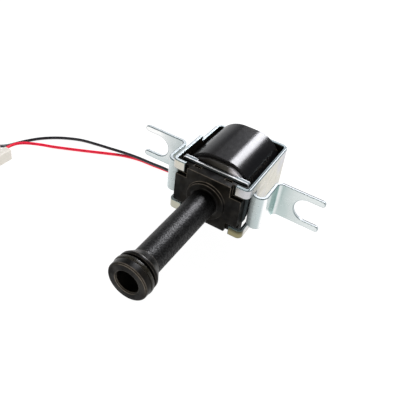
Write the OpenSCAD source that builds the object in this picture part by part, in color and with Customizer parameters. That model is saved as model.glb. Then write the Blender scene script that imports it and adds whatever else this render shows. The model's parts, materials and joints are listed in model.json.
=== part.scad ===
// Torque converter clutch solenoid: a stamped steel frame with slotted ears holds a taped
// coil, and a moulded snout carries the fluid to a plunger valve inside the coil.
// Y runs along the snout from its tip to the back of the frame, X across the ears, Z up.
// The origin is on the snout's axis, at the middle of the seal's groove.

/* [Snout] */
// Diameter of the two sealing lands at the snout's tip
land_d = 12.4; // [11.6:0.1:13]
// Diameter of the fluid passage through the snout
bore_d = 7; // [5:0.1:7.2]
// Diameter of the tube just behind the cone
tube_tip_d = 8.8; // [8.6:0.1:10]
// Diameter of the tube where it meets the boss
tube_base_d = 9.1; // [8.8:0.1:10.5]
// Length from the tip's face to the front of the frame's tabs
snout_len = 40.3; // [30:0.1:60]
// Length of the land in front of the groove
front_land = 2.3; // [1.2:0.1:3]
// Width of the seal's groove
groove_w = 1.9; // [1.6:0.1:3.4]
// Diameter at the bottom of the groove
groove_d = 9.2; // [8.6:0.1:10]
// Length of the land behind the groove
rear_land = 1; // [0.8:0.1:3]
// Length of the cone from the rear land down to the tube
cone_len = 2.9; // [1.5:0.1:5]
// Chamfer round the outside of the tip
tip_chamfer = 0.35; // [0.1:0.05:0.6]
// Chamfer at the mouth of the passage
mouth_chamfer = 0.35; // [0.2:0.05:0.8]

/* [Seal] */
// Width of the seal ring
seal_w = 1; // [0.8:0.05:1.3]
// Radius on the seal ring's corners
seal_r = 0.25; // [0.1:0.05:0.35]
// How far the seal ring stands above the lands
seal_proud = 0.2; // [0.1:0.02:0.26]
// Room between the seal ring and the front wall of its groove
seal_play = 0.1; // [0.05:0.01:0.2]

/* [Flange] */
// Height of the snout's flange
flange_h = 18.2; // [16:0.1:19.4]
// Thickness of the flange's full rectangle, behind the tabs
flange_t = 2; // [1.4:0.1:3]
// How far the flange's cross stands ahead of the tabs
flange_proud = 0.5; // [0.2:0.05:1.5]
// Gap between the flange and each arm of the frame
flange_gap = 0.65; // [0.2:0.05:1]
// Width of each corner notch
notch_w = 4; // [3.4:0.1:5]
// Height of each corner notch
notch_h = 3.8; // [3.5:0.1:4.5]
// Radius on the flange's corners
flange_corner_r = 0.4; // [0.2:0.1:0.8]
// Height of the boss above the flange
boss_h = 0.9; // [0.6:0.1:2]
// Radius of the fillet between the boss and the tube
root_fillet = 0.7; // [0.4:0.1:1.2]
// Width of the flat on the boss's front, outside the fillet
boss_flat = 1.3; // [0.2:0.05:1.5]
// How far the boss flares out down to the flange
boss_flare = 0.3; // [0.2:0.1:1.2]
// Distance from the snout's axis to each pocket in the flange's upper and lower edges
pit_x = 5.5; // [4:0.1:6]
// Width of each pocket
pit_w = 2.4; // [1.6:0.1:2.8]
// Size of each pocket along the snout
pit_t = 0.8; // [0.5:0.1:1]
// Depth of each pocket
pit_depth = 1; // [0.5:0.1:1.4]

/* [Frame] */
// Outside width of the frame across its arms
frame_w = 27.2; // [26.6:0.1:32]
// Height of the frame
frame_h = 19.8; // [18.8:0.1:22]
// Depth from the front of the tabs to the back of the frame
frame_d = 30.5; // [27:0.1:40]
// Thickness of the sheet steel
sheet = 1.2; // [1:0.05:1.5]
// Inside radius of the two bends at the back
back_bend_r = 1.2; // [0.5:0.1:2]
// Inside radius of the tabs' bends
tab_bend_r = 0.6; // [0.3:0.1:1]
// Height of each corner tab
tab_h = 3.4; // [2.4:0.1:3.6]
// Reach of each tab inward from the arm's outer face
tab_reach = 4.7; // [3:0.1:5.2]
// How far the left arm's rear half is cut down, above and below
arm_step = 2.1; // [1:0.1:4]
// Distance from the tabs' front to where the left arm is cut down
arm_step_y = 17; // [13:0.1:18]
// How far the cut runs along the back, from the left arm's outer face
back_step_w = 8; // [4:0.1:9]

/* [Ears] */
// Height of the ears and of the strip that carries them
ear_h = 12.6; // [11.6:0.1:12.8]
// Gap inside the hairpin bend between the arm and the ear's leg
hairpin_gap = 3.1; // [2:0.1:5]
// Distance from the tabs' front back to the nose of the hairpin
hairpin_set = 3.4; // [2.5:0.1:6]
// Distance from the tabs' front back to the ears' seating face
ear_set = 14.4; // [12.5:0.1:18]
// Inside radius of the bend into the ear
ear_bend_r = 1.5; // [0.8:0.1:2]
// Distance between the tips of the two ears
ear_span = 67.5; // [64:0.1:80]
// Width of the bolt slot
slot_w = 8.3; // [6.4:0.1:8.6]
// Depth of the bolt slot from the ear's tip
slot_depth = 9.6; // [7:0.1:10]
// Radius on the corners of the fingers, at most half a finger's width
finger_r = 1; // [0.4:0.1:1.2]

/* [Flux plate] */
// Thickness of the steel plate behind the flange
flux_t = 1.6; // [1.2:0.1:2.2]
// Width of the flux plate's upper and lower edges
flux_edge_w = 23.2; // [18:0.1:23.6]
// Height of the full-width middle of the flux plate
flux_mid_h = 11; // [8:0.1:14]
// Length of the shallow relief in the flux plate's top edge
relief_w = 13.6; // [8:0.1:16]
// Depth of that relief
relief_h = 0.5; // [0.2:0.1:1]
// Thickness of the lip that the relief leaves at the plate's front
relief_lip = 0.6; // [0.4:0.1:1]
// Radius on the flux plate's corners
flux_corner_r = 0.8; // [0.4:0.1:1.2]

/* [Coil] */
// Gap between the taped coil and each arm
coil_gap = 0.2; // [0.1:0.05:0.8]
// Height of the taped coil
coil_h = 25.6; // [24.4:0.1:26.4]
// Radius on the taped coil's rounded corners
coil_corner_r = 10; // [9:0.1:11]
// Thickness of the tape wound round the coil
wrap_t = 1.5; // [1.4:0.05:1.8]
// Room between the bobbin's flanges and the bends at the frame's back
bobbin_room = 0.1; // [0.05:0.05:0.8]
// Thickness of the bobbin's flanges
bobbin_flange_t = 1.15; // [0.8:0.05:1.6]
// Wall of the bobbin's tube
bobbin_wall = 0.8; // [0.6:0.1:1.6]

/* [Plunger] */
// Diameter of the plunger
plunger_d = 9; // [8:0.1:9.4]
// Length of the plunger
plunger_len = 11; // [8:0.1:13]
// Travel of the plunger from its front stop to the core
stroke = 1.2; // [0.6:0.1:2]
// Width of the plunger's fluid flutes
flute_w = 1.6; // [1:0.1:2]
// Depth of the plunger's fluid flutes
flute_h = 0.8; // [0.4:0.1:1]
// Diameter of the valve seal set into the plunger's rear face
valve_d = 4; // [3.6:0.1:4.2]
// Thickness of the valve seal
valve_t = 1.2; // [0.8:0.1:2]
// Running clearance round the plunger, on the radius
run_gap = 0.05; // [0.02:0.01:0.1]
// Wall of the brass guide sleeve
sleeve_wall = 0.5; // [0.3:0.05:0.8]
// Length of the core's nose held inside the guide sleeve
sleeve_lap = 3; // [2:0.1:5]

/* [Core] */
// Diameter of the vent through the valve seat and the core
vent_d = 2; // [1.4:0.1:2.2]
// Diameter of the valve seat's nose
seat_d = 3.6; // [3.4:0.1:3.8]
// Diameter of the valve seat's stem, pressed into the core
stem_d = 3; // [2.6:0.1:3.2]
// Length of the valve seat's stem
stem_len = 3; // [2:0.1:5]
// Diameter of the spring's pocket in the core
pocket_d = 6.6; // [6.2:0.1:6.9]
// Depth of the spring's pocket
pocket_depth = 5; // [3.5:0.1:7]
// Diameter of the core's spigot through the frame
spigot_d = 6; // [5:0.1:7]
// Diameter of the staked head behind the frame
head_d = 7.8; // [7.2:0.1:9]
// Thickness of the staked head
head_t = 0.7; // [0.4:0.1:1.2]

/* [Spring] */
// Mean diameter of the return spring
spring_d = 5.1; // [4.8:0.1:5.3]
// Diameter of the spring's wire
spring_wire = 0.5; // [0.4:0.05:0.6]
// Number of turns in the spring
spring_turns = 5; // [4:1:7]

/* [Leads and connector] */
// Diameter of each lead over its insulation
lead_d = 1.1; // [0.9:0.05:1.2]
// Diameter of the crimp that joins each lead to the winding
splice_d = 0.7; // [0.5:0.05:0.8]
// Length of that crimp
splice_len = 2.6; // [2:0.1:3]
// Gap between the two leads where they leave the tape
lead_space = 0.25; // [0.2:0.05:0.6]
// Length of each lead's end inside the connector
lead_in = 2; // [1:0.1:2.5]
// Width of the connector's housing
housing_w = 11.6; // [10:0.1:14]
// Height of the connector's housing
housing_h = 4.5; // [4:0.1:6]
// Length of the connector's housing
housing_len = 16; // [13:0.1:24]
// Radius on the housing's long edges
housing_r = 0.5; // [0.2:0.1:0.8]
// Distance between the connector's two ways
way_pitch = 3.6; // [3.4:0.1:4.2]
// Width of each way through the housing
way_w = 2.6; // [2.4:0.1:2.8]
// Height of each way through the housing
way_h = 2.2; // [2:0.1:2.6]
// Length of the open trough at the housing's rear
trough_len = 4; // [3:0.1:6]
// Length of each terminal's box
terminal_len = 7; // [5:0.1:8]
// Wall of each terminal
terminal_wall = 0.25; // [0.2:0.05:0.4]

/* [Hidden] */
$fn = 96;

// Gaps between faces that seat on each other, and between pieces that slip together
seat_gap = 0.02;
fit_gap = 0.05;
// How far a cut runs past the face it opens
over = 1;

// Stations along the snout's axis
tip_y = -front_land - groove_w / 2;
front_y = tip_y + snout_len;
rear_land_y = groove_w / 2 + rear_land;
cone_end_y = rear_land_y + cone_len;
flange_front_y = front_y - flange_proud;
flange_step_y = front_y + sheet;
flange_back_y = flange_step_y + flange_t;
flux_back_y = flange_back_y + flux_t;
back_y = front_y + frame_d;
inner_back_y = back_y - sheet;
bobbin_front_y = flux_back_y + fit_gap;
bobbin_back_y = inner_back_y - fit_gap;
wind_front_y = bobbin_front_y + bobbin_flange_t;
wind_back_y = bobbin_back_y - bobbin_flange_t;
plunger_front_y = flux_back_y + seat_gap;
plunger_back_y = plunger_front_y + plunger_len;
core_front_y = plunger_back_y + stroke + seat_gap;
pocket_y = core_front_y + pocket_depth;
sleeve_front_y = flux_back_y + fit_gap;
sleeve_back_y = core_front_y + sleeve_lap;

// Frame
arm_out = frame_w / 2;
arm_in = arm_out - sheet;
back_r = back_bend_r + sheet;
tab_r = tab_bend_r + sheet;
tab_low = frame_h / 2 - tab_h;
hairpin_r = hairpin_gap / 2;
hairpin_x = arm_out + hairpin_r;
hairpin_y = front_y + hairpin_set + hairpin_r + sheet;
leg_out = arm_out + hairpin_gap + sheet;
ear_y = front_y + ear_set;
ear_x = leg_out + ear_bend_r;
tip_x = ear_span / 2;
slot_x = tip_x - slot_depth + slot_w / 2;
corner_r = min(finger_r, (ear_h - slot_w) / 4);

// Boss and sleeve radii, and half widths of the coil and of the bobbin's flanges, which clear
// the bends at the frame's back
boss_in_r = tube_base_d / 2 + root_fillet;
boss_top_r = boss_in_r + boss_flat;
boss_r = boss_top_r + boss_flare;
coil_r = arm_in - coil_gap;
bobbin_flange_r = arm_in - back_bend_r - bobbin_room;
sleeve_in_r = plunger_d / 2 + run_gap;
sleeve_out_r = sleeve_in_r + sleeve_wall;
bobbin_in_r = sleeve_out_r + fit_gap;
bobbin_out_r = bobbin_in_r + bobbin_wall;
flange_w = 2 * (arm_in - flange_gap);

// The surface the coil and the connector lie on, and the connector's place on it
floor_z = -coil_h / 2 - 0.1;
connector_x = -78.8;
connector_set = 10.6;
connector_y = front_y - connector_set;
way_z = floor_z + 2.4;
way_x = [connector_x + way_pitch / 2, connector_x - way_pitch / 2];
terminal_y = connector_y - trough_len - terminal_len;

// The leads leave the tape at the bottom of the coil, the black one crosses over the red one,
// and both lie to the left and rise into the connector
lead_x = -1;
lead_z = -coil_h / 2 + wrap_t / 2;
lie_z = floor_z + lead_d / 2 + fit_gap;
black_out = 17.15;
red_out = black_out + lead_d + lead_space;
red_y = front_y + red_out;
black_y = front_y + black_out;
red_route = [[lead_x, red_out, lead_z], [-6, red_out, lead_z], [-12, 18.5, rise(0)], [-19, 18.4, rise(0)],
    [-26, 17.9, rise(0)], [-32, 17.3, rise(0)], [-38, 16.8, rise(0)], [-44, 15.1, rise(0)],
    [-50, 12.1, rise(0)], [-56, 8.9, rise(0)], [-62, 5.8, rise(0)], [-67, 3.2, rise(0.05)],
    [-71, 0.8, rise(0.33)], [-74.3, -2.1, rise(0.72)], [-76.2, -4.6, rise(0.94)],
    [way_x[0], -7.2, way_z], [way_x[0], -connector_set, way_z], [way_x[0], -connector_set - lead_in, way_z]];
black_route = [[lead_x, black_out, lead_z], [-6, black_out, lead_z], [-12, 17.2, rise(0)], [-19, 17.2, rise(0.3)],
    [-26, 17.2, rise(0.58)], [-32, 16.7, rise(0.61)], [-38, 16.3, rise(0.66)], [-44, 15.4, rise(0.7)],
    [-50, 15.1, rise(0.3)], [-56, 14.6, rise(0)], [-62, 13.1, rise(0)], [-67, 10.6, rise(0)], [-71, 7.7, rise(0)],
    [-74.5, 4, rise(0)], [-77, 0, rise(0)], [-78.5, -3.2, rise(0)], [-79.6, -5.8, rise(0)],
    [-80.3, -8.2, rise(0.35)], [way_x[1], -connector_set, way_z], [way_x[1], -connector_set - lead_in, way_z]];

// Height of a lead on its way from the floor up to the connector's ways
function rise(share) = lie_z + share * (way_z - lie_z);

// Points of a rounded path through the route's points, two to a span, moved to the frame's front
function blend(a, b, c, d, t) = 0.5 * (2 * b + (c - a) * t + (2 * a - 5 * b + 4 * c - d) * t * t
    + (3 * b - a - 3 * c + d) * t * t * t);
function pick(p, i) = p[max(0, min(len(p) - 1, i))];
function smooth(p) = [for (i = [0:len(p) - 2]) for (t = [0, 0.5])
    blend(pick(p, i - 1), p[i], p[i + 1], pick(p, i + 2), t), p[len(p) - 1]];
function forward(p) = [for (q = p) q + [0, front_y, 0]];
function unit(v) = v / norm(v);
function heading(p, i) = unit(pick(p, i + 1) - pick(p, i - 1));

// A ring of points round a path's point, and the faces that join such rings into a closed tube
function ring(c, along, up, r, n) = let (side = unit(cross(up, along)), lift = cross(along, side))
    [for (k = [0:n - 1]) c + r * (cos(360 * k / n) * side + sin(360 * k / n) * lift)];
function tube_faces(m, n) = concat([[for (k = [0:n - 1]) k]],
    [for (i = [0:m - 2]) for (k = [0:n - 1]) [i * n + k, (i + 1) * n + k, (i + 1) * n + (k + 1) % n]],
    [for (i = [0:m - 2]) for (k = [0:n - 1]) [i * n + k, (i + 1) * n + (k + 1) % n, i * n + (k + 1) % n]],
    [[for (k = [0:n - 1]) (m - 1) * n + n - 1 - k]]);

module tube_along(p, r, n, up) {
    points = [for (i = [0:len(p) - 1]) each ring(p[i], heading(p, i), up, r, n)];
    polyhedron(points = points, faces = tube_faces(len(p), n), convexity = 8);
}

// Turns a shape made along Z to lie along Y
module along_y() {
    rotate([-90, 0, 0]) children();
}

// Draws an X-Z outline as a plate between two stations
module plate_y(y0, y1) {
    translate([0, y1, 0]) rotate([90, 0, 0]) linear_extrude(y1 - y0) children();
}

// A plain round bar or ring between two stations
module bar_y(y0, y1, r) {
    translate([0, y0, 0]) along_y() cylinder(h = y1 - y0, r = r);
}

module ring_y(y0, y1, r_out, r_in) {
    difference() {
        bar_y(y0, y1, r_out);
        bar_y(y0 - over, y1 + over, r_in);
    }
}

// A rectangle with rounded corners, from its low corner to its high corner
module round_rect(a, b, r) {
    translate([a[0] + r, a[1]]) square([b[0] - a[0] - 2 * r, b[1] - a[1]]);
    translate([a[0], a[1] + r]) square([b[0] - a[0], b[1] - a[1] - 2 * r]);
    for (x = [a[0] + r, b[0] - r], z = [a[1] + r, b[1] - r]) translate([x, z]) circle(r);
}

// A quarter of a bend in plan: the quadrant is set by the two signs
module bend(r_in, r_out, sx, sy) {
    intersection() {
        difference() {
            circle(r_out);
            circle(r_in);
        }
        translate([min(0, sx) * r_out, min(0, sy) * r_out]) square(r_out);
    }
}

// The strip's plan at one corner tab of the right arm
module tab_plan() {
    translate([arm_in, front_y + tab_r]) square([sheet, hairpin_y - front_y - tab_r]);
    translate([arm_out - tab_r, front_y + tab_r]) bend(tab_bend_r, tab_r, 1, -1);
    translate([arm_out - tab_reach, front_y]) square([tab_reach - tab_r, sheet]);
}

// The hairpin's plan on the right: round the nose, back along the leg and out into the ear
module hairpin_plan() {
    translate([hairpin_x, hairpin_y]) bend(hairpin_r, hairpin_r + sheet, -1, -1);
    translate([hairpin_x, hairpin_y]) bend(hairpin_r, hairpin_r + sheet, 1, -1);
    translate([leg_out - sheet, hairpin_y]) square([sheet, ear_y - ear_bend_r - hairpin_y]);
    translate([ear_x, ear_y - ear_bend_r]) bend(ear_bend_r, ear_bend_r + sheet, -1, 1);
}

// The ear's outline with its open bolt slot
module ear_face() {
    difference() {
        union() {
            translate([ear_x, -ear_h / 2]) square([tip_x - corner_r - ear_x, ear_h]);
            translate([ear_x, -ear_h / 2 + corner_r]) square([tip_x - ear_x, ear_h - 2 * corner_r]);
            for (z = [-1, 1]) translate([tip_x - corner_r, z * (ear_h / 2 - corner_r)]) circle(corner_r);
        }
        translate([slot_x, 0]) circle(slot_w / 2);
        translate([slot_x, -slot_w / 2]) square([tip_x - slot_x + over, slot_w]);
        for (z = [-1, 1]) finger_relief(z);
    }
}

// Rounds the slot's corner of a finger's tip
module finger_relief(z) {
    translate([tip_x - corner_r, z * (slot_w / 2 + corner_r)]) mirror([0, z > 0 ? 1 : 0]) difference() {
        square([corner_r + over, corner_r + over]);
        circle(corner_r);
    }
}

// The U of the frame in plan: both arms, the two rear bends and the back
module frame_plan() {
    for (s = [0, 1]) mirror([s, 0]) {
        translate([arm_in, hairpin_y]) square([sheet, back_y - back_r - hairpin_y]);
        translate([arm_out - back_r, back_y - back_r]) bend(back_bend_r, back_r, 1, 1);
    }
    translate([-arm_out + back_r, inner_back_y]) square([frame_w - 2 * back_r, sheet]);
}

module frame() {
    color("lightgray") {
        difference() {
            translate([0, 0, -frame_h / 2]) linear_extrude(frame_h) frame_plan();
            bar_y(inner_back_y - over, back_y + over, spigot_d / 2 + seat_gap);
            for (z = [-1, 1]) arm_cut(z);
        }
        for (s = [0, 1]) mirror([s, 0, 0]) {
            for (k = [0, 1]) mirror([0, 0, k]) translate([0, 0, tab_low]) linear_extrude(tab_h) tab_plan();
            translate([0, 0, -ear_h / 2]) linear_extrude(ear_h) hairpin_plan();
            plate_y(ear_y, ear_y + sheet) ear_face();
        }
    }
}

// Cuts the left arm down behind its middle, round the bend and along part of the back
module arm_cut(z) {
    translate([-arm_out - over, front_y + arm_step_y, z > 0 ? frame_h / 2 - arm_step : -frame_h / 2 - over])
        cube([back_step_w + over, frame_d - arm_step_y + over, arm_step + over]);
}

module flux_plate() {
    mid_w = arm_in - fit_gap;
    color("silver") difference() {
        plate_y(flange_back_y, flux_back_y) {
            round_rect([-flux_edge_w / 2, -frame_h / 2], [flux_edge_w / 2, frame_h / 2], flux_corner_r);
            round_rect([-mid_w, -flux_mid_h / 2], [mid_w, flux_mid_h / 2], flux_corner_r);
        }
        translate([-relief_w / 2, flange_back_y + relief_lip, frame_h / 2 - relief_h])
            cube([relief_w, flux_t, relief_h + over]);
        bar_y(flange_back_y - over, flux_back_y + over, sleeve_out_r + fit_gap);
    }
}

// The cross-shaped front of the snout's flange
module flange_cross() {
    w = flange_w / 2;
    h = flange_h / 2;
    round_rect([-w, -h + notch_h], [w, h - notch_h], flange_corner_r);
    round_rect([-w + notch_w, -h], [w - notch_w, h], flange_corner_r);
}

// Half section of the snout's tube, boss, cone, lands and groove, out from the axis
module snout_section() {
    boss_y = flange_front_y - boss_h;
    difference() {
        polygon([[0, tip_y], [land_d / 2 - tip_chamfer, tip_y], [land_d / 2, tip_y + tip_chamfer],
            [land_d / 2, -groove_w / 2], [groove_d / 2, -groove_w / 2], [groove_d / 2, groove_w / 2],
            [land_d / 2, groove_w / 2], [land_d / 2, rear_land_y], [tube_tip_d / 2, cone_end_y],
            [tube_base_d / 2, boss_y - root_fillet], [boss_in_r, boss_y - root_fillet], [boss_in_r, boss_y],
            [boss_top_r, boss_y], [boss_r, flange_front_y], [boss_r, flange_step_y], [0, flange_step_y]]);
        translate([boss_in_r, boss_y - root_fillet]) circle(root_fillet);
    }
}

module snout_body() {
    color("#242426") difference() {
        union() {
            along_y() rotate_extrude() snout_section();
            plate_y(flange_front_y, flange_step_y) flange_cross();
            plate_y(flange_step_y, flange_back_y)
                round_rect([-flange_w / 2, -flange_h / 2], [flange_w / 2, flange_h / 2], flange_corner_r);
            bar_y(flange_back_y, flux_back_y, sleeve_out_r);
        }
        bar_y(tip_y - over, flux_back_y + over, bore_d / 2);
        translate([0, tip_y, 0]) along_y()
            cylinder(h = mouth_chamfer, r1 = bore_d / 2 + mouth_chamfer, r2 = bore_d / 2);
        for (x = [-pit_x, pit_x], k = [0, 1]) mirror([0, 0, k])
            translate([x - pit_w / 2, flange_step_y + (flange_t - pit_t) / 2, flange_h / 2 - pit_depth])
                cube([pit_w, pit_t, pit_depth + over]);
    }
}

// The seal lies against the front wall of its groove
module seal_ring() {
    y0 = seal_play - groove_w / 2;
    color("#1b1a18") along_y() rotate_extrude()
        round_rect([groove_d / 2 + seat_gap, y0], [land_d / 2 + seal_proud, y0 + seal_w], seal_r);
}

// The coil's section, wider at its corners than a circle, drawn in by some depth
module coil_section(depth) {
    w = coil_r - depth;
    h = coil_h / 2 - depth;
    round_rect([-w, -h], [w, h], coil_corner_r - depth);
}

module bobbin() {
    color("#2a211b") difference() {
        union() {
            bar_y(bobbin_front_y, bobbin_back_y, bobbin_out_r);
            plate_y(bobbin_front_y, wind_front_y) coil_section(coil_r - bobbin_flange_r);
            plate_y(wind_back_y, bobbin_back_y) coil_section(coil_r - bobbin_flange_r);
        }
        bar_y(bobbin_front_y - over, bobbin_back_y + over, bobbin_in_r);
    }
}

module coil_winding() {
    color("#b3672f") difference() {
        plate_y(wind_front_y + fit_gap, wind_back_y - fit_gap) coil_section(wrap_t + fit_gap);
        bar_y(wind_front_y, wind_back_y, bobbin_out_r + fit_gap);
    }
}

// A round bar along X between two places on a lead's line under the tape
module bar_x(x0, x1, y, r) {
    translate([x0, y, lead_z]) rotate([0, 90, 0]) cylinder(h = x1 - x0, r = r);
}

// A lead's channel under the tape, with the room for its crimp
module lead_channel(y) {
    bar_x(-coil_r, lead_x, y, lead_d / 2 + fit_gap);
    bar_x(lead_x - over, lead_x + splice_len + fit_gap, y, splice_d / 2 + fit_gap);
}

module coil_wrap() {
    color("#141414") difference() {
        plate_y(wind_front_y + fit_gap, wind_back_y - fit_gap) coil_section(0);
        plate_y(wind_front_y, wind_back_y) coil_section(wrap_t);
        lead_channel(red_y);
        lead_channel(black_y);
    }
}

module splice(y) {
    bar_x(lead_x + seat_gap, lead_x + splice_len, y, splice_d / 2);
}

module red_splice() {
    color("#c9a24a") splice(red_y);
}

module black_splice() {
    color("#c9a24a") splice(black_y);
}

// The fixed core: spring pocket, vent, and a spigot staked through the frame's back
module core() {
    color("#8d9093") difference() {
        union() {
            bar_y(core_front_y, sleeve_back_y + seat_gap, sleeve_in_r - seat_gap);
            bar_y(sleeve_back_y + seat_gap, inner_back_y, sleeve_out_r);
            bar_y(inner_back_y, back_y, spigot_d / 2);
            bar_y(back_y, back_y + head_t, head_d / 2);
        }
        bar_y(core_front_y - over, pocket_y, pocket_d / 2);
        bar_y(pocket_y - over, pocket_y + stem_len, stem_d / 2 + seat_gap);
        bar_y(pocket_y, back_y + head_t + over, vent_d / 2);
    }
}

// The valve seat's nose stands inside the spring, level with the core's front face
module valve_seat() {
    color("#cfae5e") difference() {
        union() {
            bar_y(core_front_y, pocket_y, seat_d / 2);
            bar_y(pocket_y, pocket_y + stem_len, stem_d / 2);
        }
        bar_y(core_front_y - over, pocket_y + stem_len + over, vent_d / 2);
    }
}

module guide_sleeve() {
    color("#c7a24f") ring_y(sleeve_front_y, sleeve_back_y, sleeve_out_r, sleeve_in_r);
}

module plunger() {
    color("#9ea2a6") difference() {
        bar_y(plunger_front_y, plunger_back_y, plunger_d / 2);
        bar_y(plunger_back_y - valve_t, plunger_back_y + over, valve_d / 2);
        for (a = [0:90:270]) rotate([0, a, 0]) {
            translate([plunger_d / 2 - flute_h, plunger_front_y - over, -flute_w / 2])
                cube([flute_h + over, plunger_len + 2 * over, flute_w]);
            translate([0, plunger_front_y - over, -flute_w / 2]) cube([plunger_d, over + flute_h, flute_w]);
        }
    }
}

module valve_seal() {
    color("#2b2b2b") bar_y(plunger_back_y - valve_t + seat_gap, plunger_back_y, valve_d / 2 - seat_gap);
}

// The return spring stands in the core's pocket and bears on the plunger's rear face
module return_spring() {
    y0 = plunger_back_y + seat_gap + spring_wire / 2;
    y1 = pocket_y - seat_gap - spring_wire / 2;
    turn_steps = 14;
    steps = turn_steps * spring_turns;
    path = [for (i = [0:steps]) let (a = 360 * i / turn_steps)
        [spring_d / 2 * cos(a), y0 + (y1 - y0) * i / steps, spring_d / 2 * sin(a)]];
    color("#b9bcc0") tube_along(path, spring_wire / 2, 6, [0, 1, 0]);
}

module red_lead() {
    color("#d0102a") tube_along(smooth(forward(red_route)), lead_d / 2, 8, [0, 0, 1]);
}

module black_lead() {
    color("#17181c") tube_along(smooth(forward(black_route)), lead_d / 2, 8, [0, 0, 1]);
}

// The two-way housing: a way for each terminal, and an open trough where the leads come in
module connector_housing() {
    front_face = connector_y - housing_len;
    color("#ded8c8") difference() {
        translate([connector_x, 0, floor_z]) plate_y(front_face, connector_y)
            round_rect([-housing_w / 2, 0], [housing_w / 2, housing_h], housing_r);
        for (x = way_x) {
            translate([x - way_w / 2, front_face - over, way_z - way_h / 2])
                cube([way_w, housing_len + 2 * over, way_h]);
            translate([x - way_w / 2, connector_y - trough_len, way_z])
                cube([way_w, trough_len + over, housing_h]);
        }
    }
}

// A box terminal with a crimp barrel that takes the end of its lead
module terminal(x) {
    box_w = way_w - 2 * fit_gap;
    box_h = way_h - 2 * fit_gap;
    hole_w = box_w - 2 * terminal_wall;
    hole_h = box_h - 2 * terminal_wall;
    difference() {
        translate([x - box_w / 2, terminal_y, way_z - box_h / 2]) cube([box_w, terminal_len, box_h]);
        translate([x - hole_w / 2, terminal_y - over, way_z - hole_h / 2])
            cube([hole_w, terminal_len + over - terminal_wall, hole_h]);
    }
    translate([x, 0, way_z]) bar_y(terminal_y + terminal_len, connector_y - lead_in - seat_gap, lead_d / 2);
}

module red_terminal() {
    color("#c8b273") terminal(way_x[0]);
}

module black_terminal() {
    color("#c8b273") terminal(way_x[1]);
}

frame();
flux_plate();
snout_body();
seal_ring();
bobbin();
coil_winding();
coil_wrap();
core();
valve_seat();
guide_sleeve();
plunger();
valve_seal();
return_spring();
red_splice();
black_splice();
red_lead();
black_lead();
connector_housing();
red_terminal();
black_terminal();
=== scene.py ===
"""Looks of the torque converter clutch solenoid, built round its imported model."""

import json
import logging
import math
from collections.abc import Sequence
from dataclasses import dataclass
from enum import Enum
from functools import cached_property, partial, reduce
from typing import NamedTuple

import bmesh
import bpy
from mathutils import Matrix, Vector

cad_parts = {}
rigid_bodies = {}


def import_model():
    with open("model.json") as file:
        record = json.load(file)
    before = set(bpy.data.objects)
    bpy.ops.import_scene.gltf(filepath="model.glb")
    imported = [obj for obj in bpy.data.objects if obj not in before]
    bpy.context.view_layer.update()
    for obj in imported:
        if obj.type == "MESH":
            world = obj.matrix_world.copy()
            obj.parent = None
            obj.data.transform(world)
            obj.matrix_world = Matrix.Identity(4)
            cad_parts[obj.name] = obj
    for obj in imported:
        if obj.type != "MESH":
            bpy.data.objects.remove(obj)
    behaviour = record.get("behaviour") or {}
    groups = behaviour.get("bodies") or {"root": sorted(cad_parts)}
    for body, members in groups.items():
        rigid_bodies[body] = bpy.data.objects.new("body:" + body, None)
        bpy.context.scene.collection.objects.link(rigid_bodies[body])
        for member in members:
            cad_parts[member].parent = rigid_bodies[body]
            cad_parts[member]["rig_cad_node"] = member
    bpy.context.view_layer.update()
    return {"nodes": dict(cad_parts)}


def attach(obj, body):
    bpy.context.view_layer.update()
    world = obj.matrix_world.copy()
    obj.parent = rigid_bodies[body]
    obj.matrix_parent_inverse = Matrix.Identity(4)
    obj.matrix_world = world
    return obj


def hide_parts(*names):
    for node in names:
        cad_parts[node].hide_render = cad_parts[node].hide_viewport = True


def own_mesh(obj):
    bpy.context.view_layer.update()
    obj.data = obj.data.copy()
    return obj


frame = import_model()

log = logging.getLogger("solenoid")
MM = 0.001
FRAME_FRONT = 37.05  # Station of the frame's front, in millimetres.
Colour = tuple[float, float, float]
Point = tuple[float, float, float]
Socket = bpy.types.NodeSocket
Material = bpy.types.Material
Piece = bpy.types.Object


class Body(Enum):
    """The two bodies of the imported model."""

    SOLENOID = "solenoid"
    ARMATURE = "armature"


class Slot(Enum):
    """The record's material slots."""

    ZINC = "zinc_steel"
    PLATE = "plate_steel"
    CORE = "core_steel"
    SPRING = "spring_steel"
    SNOUT = "snout_plastic"
    BOBBIN = "bobbin_plastic"
    SEAL = "seal_rubber"
    COPPER = "copper_wire"
    TAPE = "coil_tape"
    BRASS = "brass"
    RED = "red_insulation"
    BLACK = "black_insulation"
    NYLON = "nylon"


class Mark(Enum):
    """What a piece marks on its faces for its finish to read."""

    RIM = "rim"  # a rounded edge
    CUT = "cut"  # a level edge where the sheet was sheared
    END = "end"  # a wall of an ear's slot or an ear's end


class Sum(Enum):
    """The sums that the finishes work out."""

    ADD = "ADD"
    SUBTRACT = "SUBTRACT"
    MULTIPLY = "MULTIPLY"
    LARGER = "MAXIMUM"
    SIZE = "ABSOLUTE"
    ROOT = "SQRT"


class Span(NamedTuple):
    """Two values, and all between them."""

    start: float
    stop: float


def mm(start: float, stop: float) -> Span:
    """Gives a span of millimetres."""
    return Span(start * MM, stop * MM)


UNIT = Span(0.0, 1.0)
FALLING = Span(1.0, 0.0)
USUAL = Span(0.3, 0.7)  # Where most values of a noise pattern lie.


@dataclass(frozen=True)
class Noise:
    """A noise pattern: cells in a metre, octaves, their weight, and a squeeze along each axis."""

    cells: float
    octaves: float = 3.0
    fine: float = 0.55
    squeeze: Point | None = None


@dataclass(frozen=True)
class Relief:
    """How strongly a pattern roughens a surface, and its height in millimetres."""

    weight: float
    height: float


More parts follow.
